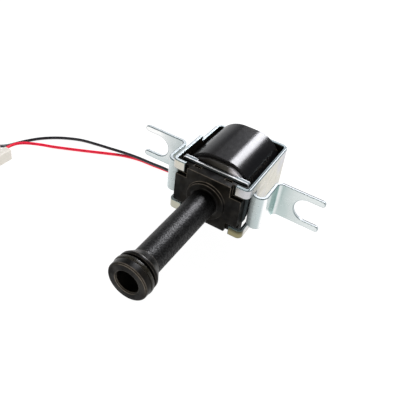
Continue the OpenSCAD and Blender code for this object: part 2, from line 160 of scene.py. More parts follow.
class Nodes:
    """A node tree, put together one node at a time.

    Its patterns read coordinates to the right (aside), to the back (along) and up (height).
    """

    colour_inputs = (6, 7)  # A Mix node's sockets for colours, whose names aren't unique.
    colour_output = 2

    def __init__(self, tree: bpy.types.NodeTree, place: str) -> None:
        """Starts on a tree.

        Args:
            tree: The tree of a material or a world.
            place: The coordinates that its patterns read.
        """
        self.tree = tree
        self.place = self.add("TexCoord").outputs[place]
        split = self.add("SeparateXYZ")
        self.join(self.place, split.inputs[0])
        self.aside, self.along, self.height = split.outputs

    def add(self, kind: str) -> bpy.types.Node:
        """Adds a shader node of a kind."""
        return self.tree.nodes.new("ShaderNode" + kind)

    def join(self, source: Socket, target: Socket) -> None:
        """Links one socket to another."""
        self.tree.links.new(source, target)

    def feed(self, value: Socket | float | Sequence[float], target: Socket) -> None:
        """Links a socket to a value's source, or sets its constant.

        Args:
            value: The source or the constant.
            target: The socket.
        """
        if isinstance(value, Socket):
            self.join(value, target)
        else:
            target.default_value = value

    def noise(self, pattern: Noise) -> Socket:
        """Adds a noise pattern.

        Args:
            pattern: The pattern.

        Returns:
            Its value, from 0 to 1.
        """
        place = self.place
        if pattern.squeeze:
            squeezed = self.add("Mapping")
            squeezed.inputs["Scale"].default_value = pattern.squeeze
            self.join(place, squeezed.inputs["Vector"])
            place = squeezed.outputs["Vector"]
        node = self.add("TexNoise")
        node.inputs["Scale"].default_value = pattern.cells
        node.inputs["Detail"].default_value = pattern.octaves
        node.inputs["Roughness"].default_value = pattern.fine
        self.join(place, node.inputs["Vector"])
        return node.outputs[0]

    @cached_property
    def across(self) -> Socket:
        """Gives the distance from the middle, to either side."""
        return self.sums(Sum.SIZE, self.aside)

    @cached_property
    def radius(self) -> Socket:
        """Gives the distance from the snout's axis."""
        squares = (self.times(way, way) for way in (self.aside, self.height))
        return self.sums(Sum.ROOT, self.sums(Sum.ADD, *squares))

    def lean(self, way: Sequence[float]) -> Socket:
        """Gives how far the coordinates reach along a direction.

        Args:
            way: The direction.

        Returns:
            The dot product of both.
        """
        node = self.add("VectorMath")
        node.operation = "DOT_PRODUCT"
        node.inputs[1].default_value = way
        self.join(self.place, node.inputs[0])
        return node.outputs["Value"]

    def sums(self, kind: Sum, first: Socket | float, second: Socket | float = 0.0) -> Socket:
        """Works out a sum.

        Args:
            kind: Which sum.
            first: First value.
            second: Second value.

        Returns:
            The result.
        """
        node = self.add("Math")
        node.operation = kind.value
        for place, value in enumerate((first, second)):
            self.feed(value, node.inputs[place])
        return node.outputs[0]

    def times(self, *values: Socket | float) -> Socket:
        """Multiplies values."""
        return reduce(partial(self.sums, Sum.MULTIPLY), values)

    def largest(self, *values: Socket) -> Socket:
        """Finds the largest of some values."""
        return reduce(partial(self.sums, Sum.LARGER), values)

    def blend(self, share: Socket, first: Socket, second: Socket) -> Socket:
        """Mixes two values by the second one's share."""
        step = self.sums(Sum.SUBTRACT, second, first)
        return self.sums(Sum.ADD, first, self.times(share, step))

    def rise(self, value: Socket, span: Span, result: Span = UNIT) -> Socket:
        """Maps a value smoothly from one span to another.

        Args:
            value: The value.
            span: The values over which the result changes.
            result: The results at both ends.

        Returns:
            The mapped value.
        """
        node = self.add("MapRange")
        node.interpolation_type = "SMOOTHSTEP"
        names = ("From Min", "From Max", "To Min", "To Max")
        for name, amount in zip(names, (*span, *result)):
            node.inputs[name].default_value = amount
        self.join(value, node.inputs["Value"])
        return node.outputs["Result"]

    def fall(self, value: Socket, span: Span) -> Socket:
        """Maps a value smoothly from 1 at a span's start to 0 at its stop."""
        return self.rise(value, span, FALLING)

    def between(self, value: Socket, first: Span, last: Span) -> Socket:
        """Gives 1 where a value is past a first span and before a last one, and 0 elsewhere."""
        return self.times(self.rise(value, first), self.fall(value, last))

    def mix(self, share: Socket, first: Socket | Colour, second: Socket | Colour) -> Socket:
        """Mixes two colours.

        Args:
            share: How much of the second.
            first: First colour.
            second: Second colour.

        Returns:
            The mixed colour.
        """
        node = self.add("Mix")
        node.data_type = "RGBA"
        self.join(share, node.inputs[0])
        for place, colour in zip(self.colour_inputs, (first, second)):
            self.feed((*colour, 1.0) if isinstance(colour, tuple) else colour, node.inputs[place])
        return node.outputs[self.colour_output]


class Shader(Nodes):
    """A material with a principled surface."""

    def __init__(self, name: str) -> None:
        """Starts a material.

        Args:
            name: The material's name.
        """
        self.material = bpy.data.materials.new(name)
        self.material.use_nodes = True
        super().__init__(self.material.node_tree, "Object")
        self.surface = self.tree.nodes["Principled BSDF"]

    def mark(self, name: Mark) -> Socket:
        """Gives 1 on the faces that a piece marks and 0 elsewhere.

        Args:
            name: Which mark.

        Returns:
            The mark's value.
        """
        node = self.add("Attribute")
        node.attribute_name = name.value
        return node.outputs["Fac"]

    def bump(self, pattern: Socket, relief: Relief) -> None:
        """Roughens the surface by a pattern.

        Args:
            pattern: The pattern.
            relief: How strongly it does so.
        """
        node = self.add("Bump")
        node.inputs["Strength"].default_value = relief.weight
        node.inputs["Distance"].default_value = relief.height * MM
        self.join(pattern, node.inputs["Height"])
        self.join(node.outputs["Normal"], self.surface.inputs["Normal"])

    def set(self, **values: Socket | float | Sequence[float]) -> None:
        """Links or sets sockets of the surface, named with underscores for spaces."""
        for name, value in values.items():
            self.feed(value, self.surface.inputs[name.replace("_", " ")])


@dataclass(frozen=True)
class ZincPlate:
    """Bright zinc on sheet steel: straw on the arms and pale on the ears, with painted shade and
    highlights: blue-green shade in the bends, grey shade at the ear roots, dark shade lines along
    the edges and olive shade on the lower right tab.
    """

    name: str = "bright_zinc"
    # The ears and the legs that carry them, with their painted shade and highlights.
    pale: Colour = (0.88, 0.885, 0.875)
    # soft: the ears' pale in painted shade, on the right ear's face and just past each bend.
    soft: Colour = (0.7, 0.74, 0.735)
    # Painted highlight on the front and the lower front corner of each leg.
    bright: Colour = (0.95, 0.96, 0.96)
    # Painted shade on the legs, teal on the right and grey on the left; grey is also the left ear
    # root's painted shade.
    cool: Colour = (0.37, 0.53, 0.51)
    grey: Colour = (0.46, 0.51, 0.51)
    # Painted shade on the right ear's root.
    root_grey: Colour = (0.5, 0.58, 0.57)
    misty: Colour = (0.52, 0.59, 0.595)
    # The arms and the tabs; the lower right tab has painted shade and a painted highlight.
    straw: Colour = (0.57, 0.545, 0.465)
    violet: Colour = (0.53, 0.525, 0.54)
    shaded: Colour = (0.2, 0.17, 0.125)
    # Painted shade (olive) above a painted highlight (tan) on the lower right tab; pale olive on
    # the lower left one.
    olive: Colour = (0.06, 0.058, 0.036)
    tan: Colour = (0.27, 0.245, 0.14)
    pale_olive: Colour = (0.46, 0.45, 0.37)
    # The sheared edges and their roundings, with painted shade lines along the roundings and
    # painted bands and lines on the right half's sheared edges.
    # Painted shade along the roundings: dark off the right ear, paler on it, darkest along its
    # back.
    edge: Colour = (0.1, 0.15, 0.16)
    ear_edge: Colour = (0.3, 0.36, 0.37)
    # Painted shade lines along the right arm, the right leg and the right ear's back.
    line: Colour = (0.03, 0.042, 0.047)
    # Painted shade band (torn) inside a painted highlight band (sheared) on the right arm's top
    # edge.
    edge_shade_band: Colour = (0.3, 0.345, 0.355)
    sheared: Colour = (0.66, 0.7, 0.71)
    filed: Colour = (0.66, 0.71, 0.72)
    pale_edge: Colour = (0.68, 0.71, 0.72)
    edge_share: float = 0.85
    matt: float = 0.75
    rough: Span = Span(0.24, 0.36)
    bare: Span = Span(1.0, 0.25)
    # Patterns.
    cloud: Noise = Noise(95.0, 2.0)
    drift: Span = mm(-1.5, 2.5)
    tint: Noise = Noise(110.0, 1.0)
    tint_values: Span = Span(0.35, 0.65)
    haze: Noise = Noise(420.0)
    grain: Noise = Noise(500.0, 2.0, squeeze=(1.0, 1.0, 4.0))
    relief: Relief = Relief(0.02, 0.02)
    # Stations, from the middle outwards, from the tip backwards and up.
    middle: Span = mm(-1.0, 1.0)
    arm_wall: Span = mm(12.4, 12.9)
    arm_front: Span = mm(39.5, 40.5)
    arm_back: Span = mm(67.1, 67.6)
    # Where the right arm's painted shade band gives way to its painted highlight band, and where
    # its painted shade line runs.
    arm_highlight_start: Span = mm(12.98, 13.06)
    arm_line: tuple[Span, Span] = (mm(12.7, 12.78), mm(13.0, 13.08))
    leg_root: Span = mm(13.5, 15.0)
    leg_inside: Span = mm(15.0, 17.3)
    leg_outside: Span = mm(16.8, 17.6)
    # Where the painted shade line runs along the right leg.
    leg_line: tuple[Span, Span] = (mm(16.2, 16.4), mm(16.9, 17.0))
    leg_line_front: Span = mm(43.5, 44.2)
    nose_back: Span = mm(42.6, 43.4)
    flank_front: Span = mm(44.5, 47.0)
    flank_way: Point = (0.0, 1.25, 1.0)
    flank_reach: Span = mm(55.7, 56.5)
    bend: Span = mm(17.95, 18.35)
    ear_start: Span = mm(18.0, 18.6)
    ear_root: Span = mm(18.5, 19.3)
    ear_reach: Span = mm(19.2, 30.0)
    ear_half: Span = mm(6.3, 6.5)
    ear_under: Span = mm(-6.0, -2.0)
    # Where the painted shade line along the right ear's back begins.
    ear_back: Span = mm(52.1, 52.25)
    left_share: Span = Span(0.85, 0.0)
    tab_top: Span = mm(-6.6, -5.6)
    tab_back: Span = mm(38.2, 39.6)
    # Band where the lower right tab's painted shade gives way to its painted highlight.
    tab_shade_band: Span = mm(-8.6, -6.9)

    def material(self) -> Material:
        """Builds the finish.

        Returns:
            The material.
        """
        made = Shader(self.name)
        right = made.rise(made.aside, self.middle)
        folded = made.times(
            made.fall(made.along, self.nose_back),
            made.fall(made.sums(Sum.SIZE, made.height), self.ear_half),
        )
        on_ear = made.rise(made.aside, self.ear_start)
        # The right ear's back strip, painted with a shade line.
        behind = made.times(on_ear, made.rise(made.along, self.ear_back))
        cut, end = made.mark(Mark.CUT), made.mark(Mark.END)
        level = made.mix(right, self.filed, self.painted_edge_bands(made, on_ear, behind))
        body = made.mix(cut, self.sheet(made, right, folded), level)
        body = made.mix(end, body, self.filed)
        # The roundings take painted shade lines.
        rim = made.mix(on_ear, self.edge, made.mix(behind, self.ear_edge, self.line))
        rough = made.rise(made.noise(self.haze), USUAL, self.rough)
        clouded = made.times(folded, made.fall(made.across, self.leg_inside))
        made.set(
            Base_Color=made.mix(made.times(made.mark(Mark.RIM), self.edge_share), body, rim),
            Roughness=made.largest(rough, made.times(cut, right, self.matt)),
            Metallic=made.rise(made.largest(clouded, cut, end), UNIT, self.bare),
        )
        made.bump(made.noise(self.grain), self.relief)
        return made.material

    def sheet(self, made: Shader, right: Socket, folded: Socket) -> Socket:
        """Colours the sheet's faces.

        Args:
            made: The material.
            right: 1 on the right half.
            folded: 1 on the folds before the legs.

        Returns:
            The colour.
        """
        flank = made.times(
            made.rise(made.along, self.flank_front),
            made.rise(made.lean(self.flank_way), self.flank_reach),
        )
        # Each leg is painted: a highlight at its front and lower corner, shade behind.
        leg = made.mix(flank, self.bright, made.mix(right, self.grey, self.cool))
        outer = made.mix(made.rise(made.across, self.bend), leg, self.ear(made, right))
        nose = made.mix(made.rise(made.across, self.leg_outside), self.misty, outer)
        beyond = made.largest(folded, made.rise(made.across, self.leg_root))
        upper = made.mix(beyond, self.arm(made), nose)
        low = made.times(
            made.fall(made.height, self.tab_top), made.fall(made.along, self.tab_back)
        )
        # The lower right tab: painted olive shade above, a painted tan highlight along its bottom.
        tab = made.mix(made.rise(made.height, self.tab_shade_band), self.tan, self.olive)
        return made.mix(low, upper, made.mix(right, self.pale_olive, tab))

    def ear(self, made: Shader, right: Socket) -> Socket:
        """Colours the ears, with painted shade: grey across each root, and the right ear darker
        than the left.

        Args:
            made: The material.
            right: 1 on the right half.

        Returns:
            The colour.
        """
        drift = made.rise(made.noise(self.cloud), USUAL, self.drift)
        reach = made.rise(made.sums(Sum.ADD, made.across, drift), self.ear_reach)
        # Painted shade: the roots grey, and the right ear darker than the left.
        root = made.mix(right, self.grey, self.root_grey)
        face = made.mix(reach, root, made.mix(right, self.pale, self.soft))
        under = made.times(
            made.rise(made.aside, self.middle, self.left_share),
            made.fall(made.height, self.ear_under),
        )
        face = made.mix(under, face, self.misty)
        return made.mix(made.rise(made.across, self.ear_root), self.soft, face)

    def arm(self, made: Shader) -> Socket:
        """Colours the arms and the back, which are shaded inside.

        Args:
            made: The material.

        Returns:
            The colour.
        """
        inside = made.times(
            made.fall(made.across, self.arm_wall),
            made.between(made.along, self.arm_front, self.arm_back),
        )
        tint = made.rise(made.noise(self.tint), self.tint_values)
        return made.mix(inside, made.mix(tint, self.straw, self.violet), self.shaded)

    def painted_edge_bands(self, made: Shader, on_ear: Socket, behind: Socket) -> Socket:
        """Colours the sheared edges of the right half, painted with a shade band inside a highlight
        band on the arm, and with painted shade lines along the arm, the leg and the ear's back.

        Args:
            made: The material.
            on_ear: 1 on the right ear.
            behind: 1 along that ear's back.

        Returns:
            The colour.
        """
        skin = made.mix(made.rise(made.across, self.arm_highlight_start), self.edge_shade_band, self.sheared)
        skin = made.mix(on_ear, skin, self.pale_edge)
        on_arm = made.between(made.across, *self.arm_line)
        on_leg = made.times(
            made.rise(made.along, self.leg_line_front),
            made.between(made.across, *self.leg_line),
        )
        shade_lines = made.sums(Sum.ADD, on_arm, on_leg)
        return made.mix(made.largest(shade_lines, behind), skin, self.line)


@dataclass(frozen=True)
class PlainPlate:
    """Plain plated steel, clouded on top, with a painted highlight along its edges and painted
    shade on its front face and its lower part.
    """

    name: str = "plain_plate"
    dark: Colour = (0.13, 0.16, 0.17)
    light: Colour = (0.24, 0.28, 0.29)
    # Painted shade on the front face and the lower part.
    painted_shade_colour: Colour = (0.03, 0.04, 0.043)
    # Painted highlight along the rims and the top edge.
    painted_sheen: Colour = (0.95, 0.96, 0.97)
    rough: Span = Span(0.64, 0.8)
    bare: float = 0.15
    cloud: Noise = Noise(210.0)
    haze: Noise = Noise(700.0)
    relief: Relief = Relief(0.1, 0.03)
    # The painted highlight strips are as wide as the lip before the plate's notch, and narrower
    # beside it.
    notch: Span = mm(6.7, 6.9)
    strip: Span = mm(0.6, 0.3)
    front: Span = mm(40.25, 40.3)
    back: Span = mm(41.55, 41.6)
    above_notch: Span = mm(9.5, 9.7)
    # Where the painted shade covers the front face and the lower part.
    front_face: Span = mm(40.255, 40.28)
    painted_shade_top: Span = mm(5.8, 7.0)

    def material(self) -> Material:
        """Builds the finish.

        Returns:
            The material.
        """
        made = Shader(self.name)
        width = made.rise(made.across, self.notch, self.strip)
        ledge = made.fall(made.sums(Sum.SUBTRACT, made.along, width), self.front)
        behind = made.times(
            made.rise(made.along, self.back), made.rise(made.height, self.above_notch)
        )
        # Painted highlight on the rims and along the front and back of the top edge.
        pale_edge = made.largest(made.mark(Mark.RIM), ledge, behind)
        cloud = made.noise(self.cloud)
        clean = made.mix(made.rise(cloud, USUAL), self.dark, self.light)
        clean = made.mix(pale_edge, clean, self.painted_sheen)
        # Painted shade on the front face and on the lower part.
        painted_shade = made.largest(
            made.fall(made.along, self.front_face), made.fall(made.height, self.painted_shade_top)
        )
        made.set(
            Base_Color=made.mix(painted_shade, clean, self.painted_shade_colour),
            Roughness=made.rise(made.noise(self.haze), USUAL, self.rough),
            Metallic=self.bare,
        )
        made.bump(cloud, self.relief)
        return made.material


@dataclass(frozen=True)
class MouldedPlastic:
    """Moulded plastic or rubber with a fine speckle."""

    name: str
    dark: Colour
    light: Colour
    rough: Span
    speck: Noise
    relief: Relief
    specular: float
    cloud: Noise = Noise(160.0, 2.0)
    speck_values: Span = Span(0.45, 0.75)
    cloud_values: Span = Span(0.2, 0.9)
    cloud_share: Span = Span(0.5, 1.0)

    def material(self) -> Material:
        """Builds the finish.

        Returns:
            The material.
        """
        made = Shader(self.name)
        speck = made.noise(self.speck)
        share = made.times(
            made.rise(speck, self.speck_values),
            made.rise(made.noise(self.cloud), self.cloud_values, self.cloud_share),
        )
        made.set(
            Base_Color=made.mix(share, self.dark, self.light),
            Roughness=made.rise(speck, USUAL, self.rough),
            Specular_IOR_Level=self.specular,
        )
        made.bump(speck, self.relief)
        return made.material


@dataclass(frozen=True)
class SnoutMoulding:
    """Charcoal moulding, smooth at the tip and the flange and speckled along the tube."""

    name: str = "charcoal_moulding"
    dark: Colour = (0.0015, 0.0015, 0.0015)
    light: Colour = (0.006, 0.0059, 0.0058)
    brown: Colour = (0.003, 0.0027, 0.0023)
    umber: Colour = (0.011, 0.0096, 0.0074)
    # Painted highlight on the edges.
    painted_sheen: Colour = (0.15, 0.128, 0.102)
    rough: Span = Span(0.33, 0.43)
    # Patterns, and the values between which they change the surface.
    speck: Noise = Noise(2100.0, 2.0, 0.5)
    speck_values: Span = Span(0.45, 0.7)
    cloud: Noise = Noise(160.0, 2.0)
    cloud_values: Span = Span(0.2, 0.9)
    cloud_share: Span = Span(0.5, 1.0)
    smoke: Noise = Noise(220.0)
    smoke_values: Span = Span(0.38, 0.62)
    highlight_breakup: Noise = Noise(700.0)
    highlight_breakup_share: Span = Span(0.45, 0.9)
    relief: Relief = Relief(1.0, 0.08)
    relief_share: Span = Span(0.1, 1.0)
    # How strongly it mirrors.
    specular: float = 0.18  # For the export, which takes no pattern here.
    cast: Noise = Noise(260.0, 4.0, 0.6)
    cast_values: Span = Span(0.35, 0.65)
    cast_specular: Span = Span(0.035, 0.11)
    tube_specular: Span = Span(0.16, 0.22)
    grain_values: Span = Span(0.35, 0.65)
    grain_specular: Span = Span(-0.08, 0.12)
    dim_way: Point = (0.89, 0.0, -0.46)
    dim_reach: Span = mm(2.4, 4.1)
    dim_share: Span = Span(1.0, 0.35)
    # Stations from the tip backwards.
    tip_face: Span = mm(-3.2, -2.9)
    tip_edge: Span = mm(-2.8, -2.2)
    lands_end: Span = mm(1.5, 3.5)
    bore_end: Span = mm(2.0, 4.0)
    tube_start: Span = mm(2.5, 5.5)
    half_way: Span = mm(20.0, 30.0)
    tube_end: Span = mm(33.5, 36.0)
    boss_start: Span = mm(33.5, 35.0)
    # Where its edges carry a painted highlight: on the upper side of the tip and the boss, and on
    # the lower side of the bore.
    upper_way: Point = (0.5, 0.0, 0.85)
    tip_reach: Span = mm(1.0, 5.5)
    tip_share: Span = Span(0.06, 1.0)
    land_share: Span = Span(1.0, 0.45)
    boss_reach: Span = mm(1.0, 7.0)
    boss_share: Span = Span(0.05, 1.0)
    bore_reach: Span = mm(-3.5, 0.0)
    bore_share: Span = Span(1.0, 0.1)
    bore_radius: Span = mm(4.8, 5.1)

    def material(self) -> Material:
        """Builds the finish.

        Returns:
            The material.
        """
        made = Shader(self.name)
        tube = made.between(made.along, self.tube_start, self.tube_end)
        speck = made.noise(self.speck)
        share = made.times(
            made.rise(speck, self.speck_values),
            made.rise(made.noise(self.cloud), self.cloud_values, self.cloud_share),
        )
        smoke = made.rise(made.noise(self.smoke), self.smoke_values)
        smoky = made.mix(smoke, self.brown, self.umber)
        skin = made.mix(tube, smoky, made.mix(share, self.dark, self.light))
        grain = made.times(tube, made.rise(speck, self.grain_values, self.grain_specular))
        made.set(Specular_IOR_Level=self.specular)
        # The edges take a painted highlight, broken up by noise.
        made.set(
            Base_Color=made.mix(self.painted_edge_highlight(made), skin, self.painted_sheen),
            Roughness=made.rise(tube, UNIT, self.rough),
            Specular_IOR_Level=made.sums(Sum.ADD, grain, self.shine(made)),
        )
        made.bump(made.times(speck, made.rise(tube, UNIT, self.relief_share)), self.relief)
        return made.material

    def painted_edge_highlight(self, made: Shader) -> Socket:
        """Finds where the edges carry a painted highlight.

        Args:
            made: The material.

        Returns:
            How much they are.
        """
        upper = made.lean(self.upper_way)
        on_tip = made.times(
            made.rise(upper, self.tip_reach, self.tip_share),
            made.rise(made.along, self.tip_edge, self.land_share),
        )
        on_boss = made.rise(made.height, self.boss_reach, self.boss_share)
        on_rim = made.blend(made.rise(made.along, self.half_way), on_tip, on_boss)
        in_bore = made.rise(upper, self.bore_reach, self.bore_share)
        bored = made.times(
            made.fall(made.radius, self.bore_radius), made.fall(made.along, self.bore_end)
        )
        highlight_breakup = made.rise(made.noise(self.highlight_breakup), USUAL, self.highlight_breakup_share)
        edge = made.times(made.mark(Mark.RIM), highlight_breakup)
        return made.times(edge, made.blend(bored, on_rim, in_bore))

    def shine(self, made: Shader) -> Socket:
        """Finds how strongly the flange, the tip and the tube mirror.

        Args:
            made: The material.

        Returns:
            The specular level.
        """
        lands = made.between(made.along, self.tip_face, self.boss_start)
        sides = made.times(
            made.rise(made.along, self.lands_end, self.tube_specular),
            made.rise(made.lean(self.dim_way), self.dim_reach, self.dim_share),
        )
        cast = made.rise(made.noise(self.cast), self.cast_values, self.cast_specular)
        return made.blend(lands, cast, sides)


@dataclass(frozen=True)
class BobbinMoulding:
    """Brown-black moulding, painted with a sheen that pales it to olive grey towards one side of
    its front flange, and a lilac highlight at that side's end.
    """

    name: str = "bobbin_moulding"
    brown: Colour = (0.008, 0.0065, 0.005)
    # Painted sheen (olive) and painted highlight (lilac) on the front flange.
    olive: Colour = (0.075, 0.072, 0.062)
    lilac: Colour = (0.85, 0.82, 0.86)
    rough: Span = Span(0.29, 0.42)
    specular: float = 0.35
    cloud: Noise = Noise(300.0)
    cloud_values: Span = Span(0.25, 0.75)
    cloud_share: Span = Span(0.6, 1.0)
    grain: Noise = Noise(1500.0)
    relief: Relief = Relief(0.1, 0.03)
    front: Span = mm(43.0, 44.0)
    painted_sheen: Span = mm(-6.0, 4.0)
    highlight_spot: Span = mm(3.0, 6.4)

    def material(self) -> Material:
        """Builds the finish.

        Returns:
            The material.
        """
        made = Shader(self.name)
        cloud = made.noise(self.cloud)
        front = made.fall(made.along, self.front)
        share = made.times(
            front,
            made.rise(made.aside, self.painted_sheen),
            made.rise(cloud, self.cloud_values, self.cloud_share),
        )
        skin = made.mix(share, self.brown, self.olive)
        # Painted lilac highlight towards the right end of the front flange.
        highlight_spot = made.times(front, made.rise(made.aside, self.highlight_spot))
        made.set(
            Base_Color=made.mix(highlight_spot, skin, self.lilac),
            Roughness=made.rise(cloud, USUAL, self.rough),
            Specular_IOR_Level=self.specular,
        )
        made.bump(made.noise(self.grain), self.relief)
        return made.material


@dataclass(frozen=True)
class CloudedFinish:
    """A finish in two clouded tones, with a grain in its gloss."""

    name: str
    dark: Colour
    light: Colour
    rough: Span
    cloud: Noise
    grain: Noise
    relief: Relief
    grain_raised: bool = False
    specular: float = 0.5
    bare: float = 0.0

    def material(self) -> Material:
        """Builds the finish.

        Returns:
            The material.
        """
        made = Shader(self.name)
        cloud, grain = made.noise(self.cloud), made.noise(self.grain)
        made.set(
            Base_Color=made.mix(made.rise(cloud, USUAL), self.dark, self.light),
            Roughness=made.rise(grain, USUAL, self.rough),
            Specular_IOR_Level=self.specular,
            Metallic=self.bare,
        )
        made.bump(grain if self.grain_raised else cloud, self.relief)
        return made.material


@dataclass(frozen=True)
class GlossTape(CloudedFinish):
    """Glossy black tape wound round the coil."""

    name: str = "black_tape"
    dark: Colour = (0.005, 0.005, 0.006)
    light: Colour = (0.012, 0.0115, 0.0115)
    rough: Span = Span(0.23, 0.26)
    cloud: Noise = Noise(130.0, 2.0, squeeze=(1.0, 0.25, 1.0))
    grain: Noise = Noise(700.0, 2.0)
    relief: Relief = Relief(0.1, 0.05)
    specular: float = 0.22


@dataclass(frozen=True)
class TurnedMetal(CloudedFinish):
    """Turned or drawn metal with fine rings along the snout's axis."""

    cloud: Noise = Noise(240.0, 2.0)
    grain: Noise = Noise(5200.0, 2.0, squeeze=(0.06, 1.0, 0.06))
    relief: Relief = Relief(0.12, 0.015)
    grain_raised: bool = True
    bare: float = 1.0


@dataclass(frozen=True)
class Insulation(CloudedFinish):
    """Extruded covering of a lead."""

    rough: Span = Span(0.29, 0.44)
    cloud: Noise = Noise(420.0)
    grain: Noise = Noise(2400.0)
    relief: Relief = Relief(0.05, 0.03)
    specular: float = 0.4


class Finishes:
    """Every finish of the solenoid, made once."""

    looks = {
        Slot.ZINC: ZincPlate(),
        Slot.PLATE: PlainPlate(),
        Slot.CORE: TurnedMetal(
            "turned_iron", (0.42, 0.43, 0.44), (0.58, 0.59, 0.6), Span(0.28, 0.44)
        ),
        Slot.SPRING: TurnedMetal(
            "spring_wire", (0.5, 0.51, 0.52), (0.66, 0.67, 0.68), Span(0.2, 0.36)
        ),
        Slot.SNOUT: SnoutMoulding(),
        Slot.BOBBIN: BobbinMoulding(),
        Slot.SEAL: MouldedPlastic(
            "seal_rubber", (0.014, 0.012, 0.007), (0.04, 0.034, 0.022), Span(0.25, 0.41),
            speck=Noise(1500.0, 3.0, 0.6), relief=Relief(0.12, 0.03), specular=0.3,
        ),
        Slot.COPPER: TurnedMetal(
            "copper_turns", (0.5, 0.2, 0.08), (0.72, 0.36, 0.17), Span(0.24, 0.4),
            grain=Noise(3300.0, 2.0, squeeze=(0.06, 1.0, 0.06)),
        ),
        Slot.TAPE: GlossTape(),
        Slot.BRASS: TurnedMetal(
            "plain_brass", (0.62, 0.45, 0.18), (0.76, 0.6, 0.3), Span(0.24, 0.4)
        ),
        Slot.RED: Insulation("red_covering", (0.8, 0.004, 0.03), (0.94, 0.01, 0.06)),
        Slot.BLACK: Insulation("black_covering", (0.006, 0.006, 0.009), (0.018, 0.019, 0.026)),
        Slot.NYLON: MouldedPlastic(
            "natural_nylon", (0.74, 0.70, 0.62), (0.84, 0.81, 0.74), Span(0.35, 0.51),
            speck=Noise(900.0, 3.0, 0.6), relief=Relief(0.1, 0.03), specular=0.45,
        ),
    }

    def __init__(self) -> None:
        """Builds the materials."""
        self.made = {slot: look.material() for slot, look in self.looks.items()}

    def dress(self, piece: Piece, slot: Slot) -> None:
        """Gives a piece one of the finishes.

        Args:
            piece: The piece.
            slot: The record's slot for it.
        """
        piece.data.materials.clear()
        piece.data.materials.append(self.made[slot])
        log.info("%s: dressed in %s", piece.name, self.made[slot].name)


@dataclass(frozen=True)
class Rounding:
    """A rounded edge: width in millimetres, least angle in degrees, and faces across it."""

    width: float
    angle: float = 28.0
    steps: int = 2


@dataclass(frozen=True)
class Bench:
    """Shared ways to make a piece, and the finishes to dress it in."""

    finishes: Finishes
    smooth_angle: float = math.radians(38)
    flat_angle: float = math.radians(0.4)
    flat_weight: int = 100
    same_place: float = 0.002 * MM
    same_corner: float = 0.001 * MM

    def place(
        self, mesh: bmesh.types.BMesh, node: str, name: str, slot: Slot, body: Body = Body.SOLENOID
    ) -> Piece:
        """Turns a finished mesh into a dressed piece on a body.

        Args:
            mesh: The mesh, which is freed.
            node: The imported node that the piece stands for.
            name: The piece's name.
            slot: Its finish.
            body: The body it rides on.

        Returns:
            The piece.
        """
        data = bpy.data.meshes.new(name)
        mesh.to_mesh(data)
        mesh.free()
        for face in data.polygons:
            face.use_smooth = True
        data.set_sharp_from_angle(angle=self.smooth_angle)
        piece = bpy.data.objects.new(name, data)
        bpy.context.scene.collection.objects.link(piece)
        flat = piece.modifiers.new("flat_faces", "WEIGHTED_NORMAL")
        flat.mode = "FACE_AREA"
        flat.weight = self.flat_weight
        flat.keep_sharp = True
        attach(piece, body.value)
        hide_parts(node)
        log.info("%s: %d faces on %s", name, len(data.polygons), body.value)
        self.finishes.dress(piece, slot)
        return piece

    def softened(
        self, node: str, name: str, slot: Slot, edge: Rounding, body: Body = Body.SOLENOID
    ) -> Piece:
        """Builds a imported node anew, with its sharp edges rounded.

        Args:
            node: The node.
            name: The piece's name.
            slot: Its finish.
            edge: The rounding.
            body: The body it rides on.

        Returns:
            The piece.
        """
        mesh = self.merged(node)
        self.soften(mesh, edge)
        return self.place(mesh, node, name, slot, body)

    def merged(self, node: str) -> bmesh.types.BMesh:
        """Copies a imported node's mesh and joins its loose triangles into flat faces.

        Args:
            node: The node's name.

        Returns:
            The joined mesh.
        """
        mesh = bmesh.new()
        mesh.from_mesh(frame["nodes"][node].data)
        bmesh.ops.remove_doubles(mesh, verts=mesh.verts[:], dist=self.same_place)
        bmesh.ops.dissolve_limit(
            mesh, angle_limit=self.flat_angle, verts=mesh.verts[:], edges=mesh.edges[:]
        )
        return mesh

    def soften(self, mesh: bmesh.types.BMesh, edge: Rounding) -> None:
        """Rounds a mesh's sharp edges, and marks the roundings as its rim.

        Args:
            mesh: The mesh.
            edge: The rounding.
        """
        rim = mesh.faces.layers.float.new(Mark.RIM.value)
        least = math.radians(edge.angle)
        sharp = [
            line
            for line in mesh.edges
            if len(line.link_faces) == 2 and line.calc_face_angle(0.0) > least
        ]
        rounded = bmesh.ops.bevel(
            mesh,
            geom=sharp,
            offset=edge.width * MM,
            offset_type="OFFSET",
            segments=edge.steps,
            profile=0.5,
            affect="EDGES",
            clamp_overlap=False,
            material=-1,
        )
        for face in rounded["faces"]:
            face[rim] = 1.0
        bmesh.ops.remove_doubles(mesh, verts=mesh.verts[:], dist=self.same_corner)
        bmesh.ops.recalc_face_normals(mesh, faces=mesh.faces[:])


@dataclass
class PressedFrame:
    """The bent sheet frame with its ears, and the flux plate it holds."""

    bench: Bench
    edge: Rounding = Rounding(0.26)
    plate_edge: Rounding = Rounding(0.14)
    ear_root: float = 19.6 * MM
    level_on_ear: float = 0.99
    level_elsewhere: float = 0.9
    upright: float = 0.3

    def build(self) -> None:
        """Builds the frame with its sheared edges marked, and the plate."""
        mesh = self.bench.merged("frame")
        cut = mesh.faces.layers.float.new(Mark.CUT.value)
        end = mesh.faces.layers.float.new(Mark.END.value)
        for face in mesh.faces:
            on_ear = abs(face.calc_center_median().x) > self.ear_root
            least = self.level_on_ear if on_ear else self.level_elsewhere
            level = abs(face.normal.z) > least
            face[cut] = float(level)
            face[end] = float(on_ear and not level and abs(face.normal.y) < self.upright)
        self.bench.soften(mesh, self.edge)
        self.bench.place(mesh, "frame", "pressed_frame", Slot.ZINC)
        self.bench.softened("flux_plate", "steel_plate", Slot.PLATE, self.plate_edge)


